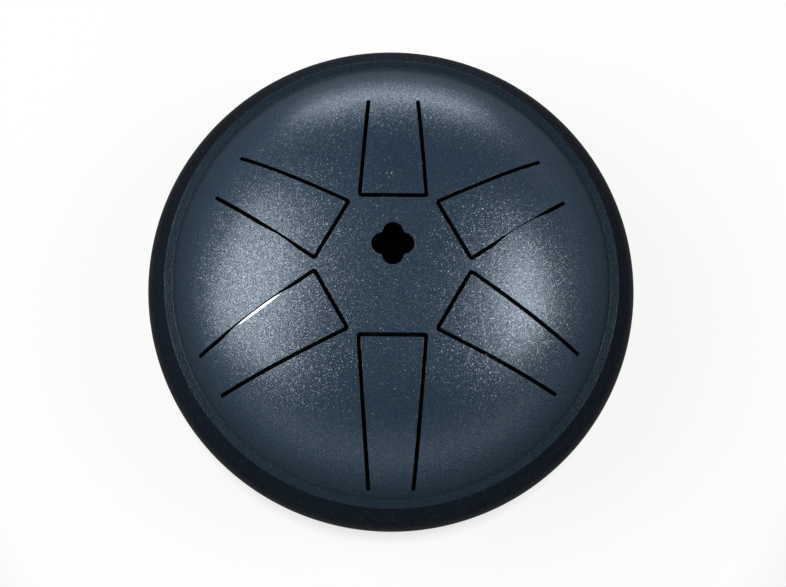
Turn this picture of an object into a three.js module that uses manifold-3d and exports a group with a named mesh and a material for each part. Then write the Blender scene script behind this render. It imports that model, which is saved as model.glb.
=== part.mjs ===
// Six-tongue steel drum: a slotted dome welded to a round bowl on three screwed rubber feet.
// Lengths are in millimetres. +Z is up, the origin is on the ground under the middle of the drum,
// and the longest tongue points to -Y, the player's side.
import * as THREE from "three";
import { mergeVertices } from "three/addons/utils/BufferGeometryUtils.js";
import Module from "manifold-3d";

// Bowl
const BODY_DIAMETER = 140; // across the belly, the widest place
const BOWL_SHEET = 1.2;
const BOWL_DEPTH = 36.2; // belly down to the underside of the floor
const BOWL_CORNER_WIDTH = 22.4; // belly in to the edge of the flat floor
const SHOULDER_RISE = 11.4; // belly up to the seam
const SHOULDER_INSET = 6.4; // belly in to the weld's foot
const SHOULDER_RADIUS = 12; // the bend over the belly, before the cone up to the seam
const LIP_WIDTH = 4.6; // the bowl's edge, turned in under the flange
const PORT_DIAMETER = 26; // round sound port in the floor

// Dome
const TOP_SHEET = 1.5;
const FLANGE_WIDTH = 1.7; // flat ring round the dome's foot
const WELD_LEG = 0.7; // flange out to the shoulder
const DOME_RISE = 21; // flange up to the crown
const DOME_FULLNESS_SHARE = 0.65; // 0 is a parabola, more gives a flatter crown and a steeper foot

// Tongues: each is left standing by a slot cut as a square U, open towards the rim
const SLOT_WIDTH = 1;
const SLOT_OUTER_CORNER = 0.95; // radius on the dome's side of the slot
const SLOT_INNER_CORNER = 0.2; // radius on the tongue's side
const TIP_RADIUS = 18.7; // drum's axis to the slot across a tongue's tip
const TIP_WEB = 2.3; // metal between neighbouring slots at the tips
const TONGUE_TAPER_SHARE = 0.071; // half width lost per length towards the rim
const LAND_FRONT = 2.5; // metal between a slot's end and the dome's foot, least at the longest tongue
const LAND_FRONT_LEFT = 4.3;
const LAND_FRONT_RIGHT = 6.1;
const LAND_BACK_LEFT = 8.7;
const LAND_BACK_RIGHT = 10.5;
const LAND_BACK = 13.4;

// Sound hole in the crown: four lobes
const LOBE_RADIUS = 2.88;
const LOBE_OFFSET = 2.8; // hole's centre to a lobe's centre
const SOUND_HOLE_SETBACK = 5.5; // drum's axis to the hole's centre, away from the player

// Feet and their fasteners
const FOOT_TOP_RADIUS = 8;
const FOOT_BOTTOM_RADIUS = 7;
const FOOT_EDGE = 0.6; // bevel round the foot's underside
const FOOT_WEB = 2.6; // rubber clamped between washer and bowl
const FOOT_INSET = 2.6; // edge of the flat floor in to the foot
const HEAD_RECESS = 0.5; // screw head kept off the ground
const COUNTERBORE_CLEARANCE = 0.3; // round the washer
const SHANK_RADIUS = 2;
const SHANK_CLEARANCE = 0.2; // round the screw in washer, foot and bowl
const THREAD_CLEARANCE = 0.05; // round the screw in the nut
const HEAD_RADIUS = 3.6;
const HEAD_HEIGHT = 2.1;
const DRIVE_LENGTH = 3.6; // cross recess in the head, end to end
const DRIVE_WIDTH = 0.9;
const DRIVE_DEPTH = 1.2;
const SCREW_STANDOUT = 1; // screw's tip beyond the nut
const WASHER_RADIUS = 4.3;
const WASHER_THICKNESS = 0.8;
const NUT_ACROSS_FLATS = 7;
const NUT_HEIGHT = 3.2;

// Overrun of a cutting solid past the faces that it cuts
const OVERRUN = 2;

// Facets
const BODY_SEGMENTS = 60;
const DOME_RINGS = 9;
const CORNER_STEPS = 7;
const SHOULDER_STEPS = 4;
const WELD_STEPS = 3;
const ROUND_STEPS = 3;
const LOBE_STEPS = 8;
const FOOT_SEGMENTS = 18;
const HARDWARE_SEGMENTS = 12;
const HEXAGON = 6;
const MERGE_SHARE = 1e-7; // of the body's diameter, for corners that coincide

// Derived levels, from the ground up
const COUNTERBORE_DEPTH = HEAD_RECESS + HEAD_HEIGHT + WASHER_THICKNESS;
const FLOOR_Z = COUNTERBORE_DEPTH + FOOT_WEB;
const BELLY_Z = FLOOR_Z + BOWL_DEPTH;
const SEAM_Z = BELLY_Z + SHOULDER_RISE;
const FLANGE_Z = SEAM_Z + TOP_SHEET;
const CROWN_Z = FLANGE_Z + DOME_RISE;

// Derived radii
const BODY_RADIUS = BODY_DIAMETER / 2;
const FLOOR_RADIUS = BODY_RADIUS - BOWL_CORNER_WIDTH;
const WELD_RADIUS = BODY_RADIUS - SHOULDER_INSET;
const FLANGE_RADIUS = WELD_RADIUS - WELD_LEG;
const DOME_RADIUS = FLANGE_RADIUS - FLANGE_WIDTH;
const FOOT_CIRCLE_RADIUS = FLOOR_RADIUS - FOOT_INSET - FOOT_TOP_RADIUS;

const wasm = await Module();
wasm.setup();

// A geometry with shared corners and without the triangles that shrank to nothing on the axis
function closed(geometry) {
  const bare = geometry.clone();
  bare.deleteAttribute("normal");
  bare.deleteAttribute("uv");
  const merged = mergeVertices(bare, MERGE_SHARE * BODY_DIAMETER);
  const corners = merged.index.array;
  const kept = [];
  for (let i = 0; i < corners.length; i += 3) {
    const [a, b, c] = corners.slice(i, i + 3);
    if (a !== b && b !== c && c !== a) kept.push(a, b, c);
  }
  merged.setIndex(kept);
  return merged;
}

function solid(geometry) {
  const merged = closed(geometry);
  const vertProperties = merged.attributes.position.array;
  const triVerts = new Uint32Array(merged.index.array);
  return new wasm.Manifold(new wasm.Mesh({ numProp: 3, vertProperties, triVerts }));
}

function cut(geometry, tools) {
  let body = solid(geometry);
  for (const tool of tools) body = body.subtract(solid(tool));
  const mesh = body.getMesh();
  const result = new THREE.BufferGeometry();
  result.setAttribute("position", new THREE.BufferAttribute(mesh.vertProperties, 3));
  result.setIndex(new THREE.BufferAttribute(mesh.triVerts, 1));
  return result;
}

// A solid of revolution about +Z from [radius, height] corners, listed anticlockwise
function revolved(outline, segments) {
  const points = outline.map(([radius, height]) => new THREE.Vector2(radius, height));
  return new THREE.LatheGeometry(points, segments).rotateX(Math.PI / 2);
}

function ring(outline, segments) {
  return revolved([...outline, outline[0]], segments);
}

// A prism along +Z from bottom to top
function prism(shape, bottom, top, curveSegments) {
  const options = { depth: top - bottom, bevelEnabled: false, curveSegments };
  return new THREE.ExtrudeGeometry(shape, options).translate(0, 0, bottom);
}

// A drill along +Z from bottom to top, at a place in plan
function drill(radius, bottom, top, place) {
  const height = top - bottom;
  const cylinder = new THREE.CylinderGeometry(radius, radius, height, HARDWARE_SEGMENTS);
  return cylinder.rotateX(Math.PI / 2).translate(place.x, place.y, bottom + height / 2);
}

function arc(steps, from, to, pointAt) {
  const points = [];
  for (let i = 0; i <= steps; i += 1) points.push(pointAt(from + ((to - from) * i) / steps));
  return points;
}

// Dome: height over the flange and slope at a share of its radius
function domeRise(share) {
  return DOME_RISE * (1 - share ** 2) * (1 + DOME_FULLNESS_SHARE * share ** 2);
}

function domeSlope(share) {
  const fall = 2 * share * (1 - DOME_FULLNESS_SHARE) + 4 * DOME_FULLNESS_SHARE * share ** 3;
  return Math.atan((DOME_RISE / DOME_RADIUS) * fall);
}

function domeOutside(share) {
  return [DOME_RADIUS * share, FLANGE_Z + domeRise(share)];
}

function domeInside(share) {
  const [radius, height] = domeOutside(share);
  const slope = domeSlope(share);
  return [radius - TOP_SHEET * Math.sin(slope), height - TOP_SHEET * Math.cos(slope)];
}

function domeGeometry() {
  const footInside = [DOME_RADIUS - TOP_SHEET * Math.tan(domeSlope(1) / 2), SEAM_Z];
  const lastRing = 1 - 1 / DOME_RINGS;
  const outline = [
    ...arc(DOME_RINGS - 1, 0, lastRing, domeInside),
    footInside,
    [FLANGE_RADIUS, SEAM_Z],
    [FLANGE_RADIUS, FLANGE_Z],
    ...arc(DOME_RINGS, 1, 0, domeOutside),
  ];
  return revolved(outline, BODY_SEGMENTS);
}

// Tongues, each named by where it points, with the angle of its centre line
const TONGUES = [
  { turn: -3, land: LAND_FRONT },
  { turn: -5, land: LAND_FRONT_LEFT },
  { turn: -1, land: LAND_FRONT_RIGHT },
  { turn: 5, land: LAND_BACK_LEFT },
  { turn: 1, land: LAND_BACK_RIGHT },
  { turn: 3, land: LAND_BACK },
];
const HALF_PITCH = Math.PI / TONGUES.length;

// One side of a slot in plan, outside or inside its centre line: side is 1 or -1
function slotSide(land, side) {
  const offset = (side * SLOT_WIDTH) / 2;
  const reach = DOME_RADIUS - land;
  const webSpace = (TIP_WEB + SLOT_WIDTH) / 2;
  const tipHalf = (TIP_RADIUS * Math.sin(HALF_PITCH) - webSpace) / Math.cos(HALF_PITCH);
  const rootHalf = tipHalf - TONGUE_TAPER_SHARE * (reach - TIP_RADIUS);
  const tip = TIP_RADIUS - offset;
  return {
    points: [
      new THREE.Vector2(reach, rootHalf + offset),
      new THREE.Vector2(tip, tipHalf + offset),
      new THREE.Vector2(tip, -tipHalf - offset),
      new THREE.Vector2(reach, -rootHalf - offset),
    ],
    radius: side > 0 ? SLOT_OUTER_CORNER : SLOT_INNER_CORNER,
  };
}

function roundedCorner(shape, before, corner, after, radius) {
  const start = corner.clone().add(before.clone().sub(corner).setLength(radius));
  const end = corner.clone().add(after.clone().sub(corner).setLength(radius));
  shape.lineTo(start.x, start.y);
  shape.quadraticCurveTo(corner.x, corner.y, end.x, end.y);
}

function slotTool({ turn, land }) {
  const outer = slotSide(land, 1);
  const inner = slotSide(land, -1);
  const [a, b, c, d] = outer.points;
  const [e, f, g, h] = inner.points;
  const shape = new THREE.Shape();
  shape.moveTo(a.x, a.y);
  roundedCorner(shape, a, b, c, outer.radius);
  roundedCorner(shape, b, c, d, outer.radius);
  shape.lineTo(d.x, d.y);
  shape.lineTo(h.x, h.y);
  roundedCorner(shape, h, g, f, inner.radius);
  roundedCorner(shape, g, f, e, inner.radius);
  shape.lineTo(e.x, e.y);
  shape.closePath();
  const tool = prism(shape, SEAM_Z - OVERRUN, CROWN_Z + OVERRUN, ROUND_STEPS);
  return tool.rotateZ(turn * HALF_PITCH);
}

// The sound hole: four arcs that meet where neighbouring lobes cross
function soundHoleTool() {
  const notch = (LOBE_OFFSET + Math.sqrt(2 * LOBE_RADIUS ** 2 - LOBE_OFFSET ** 2)) / 2;
  const half = Math.atan2(notch, notch - LOBE_OFFSET);
  const shape = new THREE.Shape();
  for (let i = 0; i < 4; i += 1) {
    const turn = (i * Math.PI) / 2;
    const x = LOBE_OFFSET * Math.cos(turn);
    const y = SOUND_HOLE_SETBACK + LOBE_OFFSET * Math.sin(turn);
    shape.absarc(x, y, LOBE_RADIUS, turn - half, turn + half);
  }
  return prism(shape, SEAM_Z - OVERRUN, CROWN_Z + OVERRUN, LOBE_STEPS);
}

function topShell() {
  return cut(domeGeometry(), [...TONGUES.map(slotTool), soundHoleTool()]);
}

// Bowl: a quarter ellipse from the floor to the belly, a bend over it and a cone up to the seam
function cornerWall(inset) {
  const width = BOWL_CORNER_WIDTH - inset;
  const depth = BOWL_DEPTH - inset;
  return (angle) => [FLOOR_RADIUS + width * Math.cos(angle), BELLY_Z + depth * Math.sin(angle)];
}

function shoulderWall(inset) {
  const across = SHOULDER_RADIUS - SHOULDER_INSET;
  const span = Math.hypot(across, SHOULDER_RISE);
  const turn = Math.atan2(SHOULDER_RISE, across) - Math.acos(SHOULDER_RADIUS / span);
  const bend = arc(SHOULDER_STEPS, 0, turn, (angle) => [
    BODY_RADIUS - SHOULDER_RADIUS + (SHOULDER_RADIUS - inset) * Math.cos(angle),
    BELLY_Z + (SHOULDER_RADIUS - inset) * Math.sin(angle),
  ]);
  const [radius, height] = bend.at(-1);
  const top = SEAM_Z - inset;
  return [...bend, [radius - (top - height) * Math.tan(turn), top]];
}

function bowlGeometry() {
  const portRadius = PORT_DIAMETER / 2;
  const lipRadius = WELD_RADIUS - LIP_WIDTH;
  const quarterTurn = Math.PI / 2;
  const outline = [
    [portRadius, FLOOR_Z],
    ...arc(CORNER_STEPS, -quarterTurn, 0, cornerWall(0)),
    ...shoulderWall(0).slice(1),
    [lipRadius, SEAM_Z],
    [lipRadius, SEAM_Z - BOWL_SHEET],
    ...shoulderWall(BOWL_SHEET).reverse(),
    ...arc(CORNER_STEPS, 0, -quarterTurn, cornerWall(BOWL_SHEET)).slice(1),
    [portRadius, FLOOR_Z + BOWL_SHEET],
  ];
  return ring(outline, BODY_SEGMENTS);
}

function bottomShell(places) {
  const hole = SHANK_RADIUS + SHANK_CLEARANCE;
  const top = FLOOR_Z + BOWL_SHEET + OVERRUN;
  return cut(bowlGeometry(), places.map((place) => drill(hole, FLOOR_Z - OVERRUN, top, place)));
}

// Weld bead: it rounds the flange's top edge down to the shoulder
function rimWeld() {
  const bead = arc(WELD_STEPS, 0, Math.PI / 2, (angle) => [
    FLANGE_RADIUS + WELD_LEG * Math.cos(angle),
    SEAM_Z + TOP_SHEET * Math.sin(angle),
  ]);
  return ring([[FLANGE_RADIUS, SEAM_Z], ...bead], BODY_SEGMENTS);
}

function foot() {
  const counterbore = WASHER_RADIUS + COUNTERBORE_CLEARANCE;
  const hole = SHANK_RADIUS + SHANK_CLEARANCE;
  const outline = [
    [counterbore, 0],
    [FOOT_BOTTOM_RADIUS - FOOT_EDGE, 0],
    [FOOT_BOTTOM_RADIUS, FOOT_EDGE],
    [FOOT_TOP_RADIUS, FLOOR_Z],
    [hole, FLOOR_Z],
    [hole, COUNTERBORE_DEPTH],
    [counterbore, COUNTERBORE_DEPTH],
  ];
  return ring(outline, FOOT_SEGMENTS);
}

function washer() {
  const hole = SHANK_RADIUS + SHANK_CLEARANCE;
  const bottom = COUNTERBORE_DEPTH - WASHER_THICKNESS;
  const outline = [
    [hole, bottom],
    [WASHER_RADIUS, bottom],
    [WASHER_RADIUS, COUNTERBORE_DEPTH],
    [hole, COUNTERBORE_DEPTH],
  ];
  return ring(outline, FOOT_SEGMENTS);
}

// Pan head screw, head down, with a cross recess
function screw() {
  const seat = HEAD_RECESS + HEAD_HEIGHT;
  const tip = FLOOR_Z + BOWL_SHEET + NUT_HEIGHT + SCREW_STANDOUT;
  const chamfer = SHANK_RADIUS / 4;
  const outline = [
    [0, HEAD_RECESS],
    [HEAD_RADIUS / 2, HEAD_RECESS],
    [(HEAD_RADIUS * 7) / 8, HEAD_RECESS + HEAD_HEIGHT / 4],
    [HEAD_RADIUS, HEAD_RECESS + HEAD_HEIGHT / 2],
    [HEAD_RADIUS, seat],
    [SHANK_RADIUS, seat],
    [SHANK_RADIUS, tip - chamfer],
    [SHANK_RADIUS - chamfer, tip],
    [0, tip],
  ];
  const depth = DRIVE_DEPTH + OVERRUN;
  const middle = HEAD_RECESS + DRIVE_DEPTH - depth / 2;
  const bar = new THREE.BoxGeometry(DRIVE_LENGTH, DRIVE_WIDTH, depth).translate(0, 0, middle);
  const crossBar = bar.clone().rotateZ(Math.PI / 2);
  return cut(revolved(outline, HARDWARE_SEGMENTS), [bar, crossBar]);
}

function nut() {
  const shape = new THREE.Shape();
  const cornerRadius = NUT_ACROSS_FLATS / 2 / Math.cos(Math.PI / HEXAGON);
  for (let i = 0; i < HEXAGON; i += 1) {
    const angle = (i * 2 * Math.PI) / HEXAGON;
    const method = i === 0 ? "moveTo" : "lineTo";
    shape[method](cornerRadius * Math.cos(angle), cornerRadius * Math.sin(angle));
  }
  shape.closePath();
  const bore = new THREE.Path();
  const facetReach = 1 / Math.cos(Math.PI / HARDWARE_SEGMENTS);
  bore.absarc(0, 0, (SHANK_RADIUS + THREAD_CLEARANCE) * facetReach, 0, 2 * Math.PI, true);
  shape.holes.push(bore);
  const bottom = FLOOR_Z + BOWL_SHEET;
  return prism(shape, bottom, bottom + NUT_HEIGHT, HARDWARE_SEGMENTS);
}

// Finishes
const paint = new THREE.MeshStandardMaterial({ color: 0x283a4b, roughness: 0.45, metalness: 0.35 });
const rubber = new THREE.MeshStandardMaterial({ color: 0x17181a, roughness: 0.85, metalness: 0 });
const zinc = new THREE.MeshStandardMaterial({ color: 0xb4b8bb, roughness: 0.35, metalness: 1 });

function named(name, geometry, material, place) {
  const mesh = new THREE.Mesh(geometry, material);
  mesh.name = name;
  if (place) mesh.position.copy(place);
  return mesh;
}

// Feet, one behind and two in front, named by where each stands
const FEET = [
  { where: "back", turn: 1 / 4 },
  { where: "front_left", turn: 7 / 12 },
  { where: "front_right", turn: 11 / 12 },
];

function footPlace({ turn }) {
  const angle = 2 * Math.PI * turn;
  return new THREE.Vector3(Math.cos(angle), Math.sin(angle), 0).multiplyScalar(FOOT_CIRCLE_RADIUS);
}

const drum = new THREE.Group();
drum.add(named("top_shell", topShell(), paint));
drum.add(named("bottom_shell", bottomShell(FEET.map(footPlace)), paint));
drum.add(named("rim_weld", rimWeld(), paint));
for (const stand of FEET) {
  const place = footPlace(stand);
  drum.add(named(`foot_${stand.where}`, foot(), rubber, place));
  drum.add(named(`washer_${stand.where}`, washer(), zinc, place));
  drum.add(named(`screw_${stand.where}`, screw(), zinc, place));
  drum.add(named(`nut_${stand.where}`, nut(), zinc, place));
}

export default drum;
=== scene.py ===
import math

import bmesh
import bpy
import numpy as np
from mathutils import Matrix, Vector
from mathutils.geometry import delaunay_2d_cdt


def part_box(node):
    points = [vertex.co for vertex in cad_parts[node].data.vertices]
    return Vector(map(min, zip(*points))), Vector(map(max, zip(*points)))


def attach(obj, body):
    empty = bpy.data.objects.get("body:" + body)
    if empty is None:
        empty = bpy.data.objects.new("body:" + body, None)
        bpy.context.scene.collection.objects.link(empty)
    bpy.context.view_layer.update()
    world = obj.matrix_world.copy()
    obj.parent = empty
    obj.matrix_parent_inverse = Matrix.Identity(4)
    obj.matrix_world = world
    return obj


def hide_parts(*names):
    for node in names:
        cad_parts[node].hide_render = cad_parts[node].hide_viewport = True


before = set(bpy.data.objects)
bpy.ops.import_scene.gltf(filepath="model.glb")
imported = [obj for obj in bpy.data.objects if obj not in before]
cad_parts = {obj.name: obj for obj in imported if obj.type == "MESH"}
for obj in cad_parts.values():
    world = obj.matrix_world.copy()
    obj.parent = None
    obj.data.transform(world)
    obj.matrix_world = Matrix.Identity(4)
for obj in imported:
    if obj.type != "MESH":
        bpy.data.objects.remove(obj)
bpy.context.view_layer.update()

MM = 0.001


def frame_box(node):
    """The lowest and highest corner of a CAD node."""
    low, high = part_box(node)
    return low / MM, high / MM


def frame_middle(node):
    low, high = frame_box(node)
    return (low + high) / 2


# Levels and radii of the shells, as the frame has them
BOWL_LOW, BOWL_HIGH = frame_box("bottom_shell")
DOME_HIGH = frame_box("top_shell")[1]
WELD_HIGH = frame_box("rim_weld")[1]
FLOOR_Z = BOWL_LOW.z
SEAM_Z = BOWL_HIGH.z
FLANGE_Z = WELD_HIGH.z
CROWN_Z = DOME_HIGH.z
BODY_RADIUS = BOWL_HIGH.x
WELD_RADIUS = WELD_HIGH.x
FLANGE_RADIUS = DOME_HIGH.x

# Dome
TOP_SHEET = FLANGE_Z - SEAM_Z
FLANGE_WIDTH = 1.7
DOME_RADIUS = FLANGE_RADIUS - FLANGE_WIDTH
DOME_RISE = CROWN_Z - FLANGE_Z
DOME_FULLNESS_SHARE = 0.65
DOME_FOOT_ROUND = 0.3
FOOT_UNDER_ROUND = 0.2      # the bend over the foot, on the inside
FLANGE_EDGE_ROUND = 0.05
PLAN_MARGIN = 1.1           # dome's foot in to the part that is meshed in plan

# Slots and sound hole
TURN_STEP = 30              # the tongues point at multiples of this
SLOT_WIDTH = 1.0
SLOT_OUTER_CORNER = 0.95
SLOT_INNER_CORNER = 0.36
SLOT_END_CORNER = 0.3
TIP_RADIUS = 18.7
TIP_WEB = 2.3
TONGUE_TAPER_SHARE = 0.071
TONGUES = [                 # direction in turn steps, and metal from slot's end to dome's foot
    (-3, 2.5),
    (-5, 4.3),
    (-1, 6.1),
    (5, 8.7),
    (1, 10.5),
    (3, 13.4),
]
LOBE_RADIUS = 2.88
LOBE_OFFSET = 2.8
SOUND_HOLE_SETBACK = 5.5
CUSP_ROUND = 0.35           # the points between the lobes
CUT_EDGE_ROUND = 0.12       # powder coat over a cut edge
CUT_EDGE_UNDER = 0.1

# Coat that has run into three of the slots. By the tongue's direction: on which side of the tongue,
# on the wall away from it (1) or on it (-1), from where to where along it, and the coat's depth
NARROWED = {
    -5: (-1, -1, 24, 50, 0.74),
    1: (-1, 1, 25, 46, 0.8),
    5: (1, 1, 23, 37, 0.45),
}
NARROWING_RAMP = 7          # length over which the coat gets to its depth
LONG_WALL_FACING = 0.9      # least sideways part of a long wall's direction

# Bowl
BOWL_SHEET = 1.2
BOWL_CORNER_WIDTH = 22.4
SHOULDER_RISE = 11.4
SHOULDER_RADIUS = 12        # the bend over the belly, before the cone up to the seam
BELLY_Z = SEAM_Z - SHOULDER_RISE
SEAM_CORNER = 0.02          # the bowl's edge where the bead lies on it
LIP_WIDTH = 4.6
LIP_ROUND = 0.3
PORT_RADIUS = 13
PORT_EDGE_ROUND = 0.3
FLOOR_MARGIN = 0.4          # edge of the flat floor in to the part that is meshed in plan

# Bead on the flange's edge
BEAD_SETBACK = 0.1          # of its upper edge
BEAD_ROUND = 0.2
BEAD_CORNER = 0.02

# Feet
STANDS = ["back", "front_left", "front_right"]
COUNTERBORE_RADIUS = 4.6
COUNTERBORE_DEPTH = 3.4
COUNTERBORE_ROUND = 0.25
COUNTERBORE_MOUTH_ROUND = 0.3
FOOT_DRAFT = 1.0            # narrower at the ground than at the bowl
FOOT_GROUND_ROUND = 0.7
FOOT_RIM = 0.8              # height of the upright rim under the bowl
FOOT_RIM_ROUND = 0.4
FOOT_RIM_SETBACK = 0.05
FOOT_TOP_ROUND = 0.15
FOOT_BORE_ROUND = 0.1

# Screws, washers, nuts and their holes
SHANK_RADIUS = 2
SHANK_HOLE_RADIUS = 2.2
THREAD_PITCH = 0.7
THREAD_DEPTH = 0.3
THREAD_STEPS = 8            # to a turn of the thread
SCREW_CHAMFER = 0.5
HEAD_SEAT = 2.6             # height of the head's underside
HEAD_CROWN = 1.15           # height of the head's rounded part
HEAD_FLAT_SHARE = 0.55      # of the head's radius, before it rounds
HEAD_BAND = 0.15            # between the crown and the upright side
HEAD_SEAT_ROUND = 0.12
CROSS_DEPTH = 1.2
CROSS_OVERRUN = 0.4
CROSS_MOUTH = (2.1, 0.5)    # half length and half width of a blade where it enters
CROSS_FLOOR = (1.1, 0.34)   # and at its tip
WASHER_ROUND = 0.12
NUT_BORE_RADIUS = 2.05
NUT_LEAD = 0.3              # the countersink at both ends of the bore
NUT_CHAMFER_ANGLE = 30
NUT_FACE_SHARE = 0.95       # of the half width across flats, where the chamfer starts

# Mesh fineness
TURNS = 240                 # steps round the body
GRID = 1.5                  # spacing of the plan meshes' inner points
GRID_CLEARANCE = GRID * 0.6     # least distance from those to an edge
PLAN_TOLERANCE = 1e-6       # points of those meshes closer than this are one
EDGE_STEP = 1.1             # spacing along the straight part of a cut edge
ROUND_STEPS = 4
DOME_FOOT_STEPS = 6
LOBE_STEPS = 24
CUSP_STEPS = 5
SHANK_HOLE_TURNS = 32
BOWL_CORNER_STEPS = (40, 30)    # outside and inside
SHOULDER_STEPS = (16, 12)
HEAD_STEPS = 8
FITTING_TURNS = 96          # steps round a foot, a washer or a nut
SCREW_TURNS = 48
MERGED = 0.001              # points of a cut screw closer than this become one
CREASE = 32                 # edges that turn more than this stay sharp


class Skin:
    """A mesh being made: its points, the faces between them, and the surface's direction at each
    point unless the mesh is creased."""

    def __init__(self):
        self.points = []
        self.normals = []
        self.faces = []
        self.cut = []           # numbers of the faces that are walls of cut-outs

    def add(self, points, normals=()):
        """Adds points and returns their numbers."""
        first = len(self.points)
        self.points.extend(tuple(map(float, p)) for p in points)
        self.normals.extend(tuple(map(float, n)) for n in normals)
        return list(range(first, len(self.points)))

    def band(self, first, second):
        """Joins two rings, first below second on a wall that is seen from outside."""
        count = len(first)
        for i in range(count):
            j = (i + 1) % count
            self.faces.append((first[i], first[j], second[j], second[i]))

    def bands(self, rings):
        for first, second in zip(rings, rings[1:]):
            self.band(first, second)


def unit(vector):
    array = np.asarray(vector, float)
    return array / np.linalg.norm(array, axis=-1, keepdims=True)


def plain_mesh(name, skin):
    mesh = bpy.data.meshes.new(name)
    mesh.from_pydata([Vector(p) * MM for p in skin.points], [], skin.faces)
    mesh.polygons.foreach_set("use_smooth", [True] * len(mesh.polygons))
    return mesh


def smooth_mesh(name, skin):
    """A mesh with the skin's own directions as its shading."""
    mesh = plain_mesh(name, skin)
    for number in skin.cut:
        mesh.polygons[number].material_index = 1
    mesh.normals_split_custom_set_from_vertices(unit(skin.normals).tolist())
    return mesh


def creased_mesh(name, skin):
    """A mesh whose edges stay sharp where its faces meet at more than the crease's angle."""
    mesh = plain_mesh(name, skin)
    mesh.set_sharp_from_angle(angle=math.radians(CREASE))
    return mesh


def piece(name, mesh, finish, node):
    """Puts a mesh in the scene in place of a CAD node, its faces with the finish they ask for."""
    made = bpy.data.objects.new(name, mesh)
    bpy.context.scene.collection.objects.link(made)
    for material in finish:
        made.data.materials.append(material)
    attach(made, "root")
    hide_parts(node)


# Outlines: rows of x, y and the direction that faces out on the right of the way round
def rounded(corners, closed=True, steps=ROUND_STEPS):
    """An outline through (x, y, radius) corners, each rounded by its radius."""
    rows = []
    count = len(corners)
    for i, (x, y, radius) in enumerate(corners):
        if not closed and i in (0, count - 1):
            other = corners[1] if i == 0 else corners[-2]
            heading = math.atan2(other[1] - y, other[0] - x) + (0 if i == 0 else math.pi)
            rows.append((x, y, math.sin(heading), -math.cos(heading)))
            continue
        before = corners[i - 1]
        after = corners[(i + 1) % count]
        into = math.atan2(y - before[1], x - before[0])
        out_of = math.atan2(after[1] - y, after[0] - x)
        turn = (out_of - into + math.pi) % (2 * math.pi) - math.pi
        side = math.copysign(1, turn)
        tangent = radius * math.tan(abs(turn) / 2)
        start = (x - tangent * math.cos(into), y - tangent * math.sin(into))
        centre = (
            start[0] - side * radius * math.sin(into),
            start[1] + side * radius * math.cos(into),
        )
        for step in range(steps + 1):
            heading = into + turn * step / steps
            facing = (math.sin(heading), -math.cos(heading))
            rows.append((
                centre[0] + side * radius * facing[0],
                centre[1] + side * radius * facing[1],
                *facing,
            ))
    return np.array(rows)


def arc(centre, radii, start, end, steps, facing=1):
    """Part of an ellipse with its outward directions, or its inward ones where facing is -1."""
    angles = np.radians(np.linspace(start, end, steps + 1))
    along = np.column_stack([np.cos(angles), np.sin(angles)])
    return np.column_stack([np.array(centre) + along * radii, facing * unit(along / radii)])


def spaced(outline, step):
    """A closed outline with points added along its long straights."""
    rows = []
    for row, following in zip(outline, np.roll(outline, -1, axis=0)):
        length = math.hypot(*(following[:2] - row[:2]))
        for share in np.arange(math.ceil(length / step)) / math.ceil(length / step):
            rows.append(row * (1 - share) + following * share)
    made = np.array(rows)
    made[:, 2:] = unit(made[:, 2:])
    return made


def turning(angle):
    """What turns rows of x, y about the origin."""
    c, s = math.cos(math.radians(angle)), math.sin(math.radians(angle))
    return np.array([[c, s], [-s, c]])


def placed(outline, angle, shift=(0, 0)):
    """An outline turned about the origin and then moved."""
    turn = turning(angle)
    return np.column_stack([outline[:, :2] @ turn + shift, outline[:, 2:] @ turn])


def inside(points, outline):
    """Which points lie inside an outline."""
    x, y = points[:, :1], points[:, 1:2]
    ax, ay = outline[:, 0], outline[:, 1]
    bx, by = np.roll(ax, -1), np.roll(ay, -1)
    spans = (ay > y) != (by > y)
    rise = np.where(by == ay, 1, by - ay)
    crossing = ax + (y - ay) * (bx - ax) / rise
    return (spans & (x < crossing)).sum(axis=1) % 2 == 1


# Surfaces over the plan: each gives heights and upward directions at rows of x, y
def dome_surface(points, drop=0):
    """The dome's outside, or the face that lies a sheet's thickness under it."""
    radius = np.hypot(points[:, 0], points[:, 1])
    share = radius / DOME_RADIUS
    height = FLANGE_Z + DOME_RISE * (1 - share**2) * (1 + DOME_FULLNESS_SHARE * share**2)
    fall = 2 * (1 - DOME_FULLNESS_SHARE) + 4 * DOME_FULLNESS_SHARE * share**2
    lean = DOME_RISE * fall / DOME_RADIUS**2
    facing = unit(np.column_stack([points * lean[:, None], np.ones(len(points))]))
    return height - drop / facing[:, 2], facing


def level_surface(points, height):
    facing = np.tile((0.0, 0.0, 1.0), (len(points), 1))
    return np.full(len(points), float(height)), facing


def ring_points(radius, count):
    angles = 2 * math.pi * np.arange(count) / count
    return np.column_stack([radius * np.cos(angles), radius * np.sin(angles)])


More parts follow.
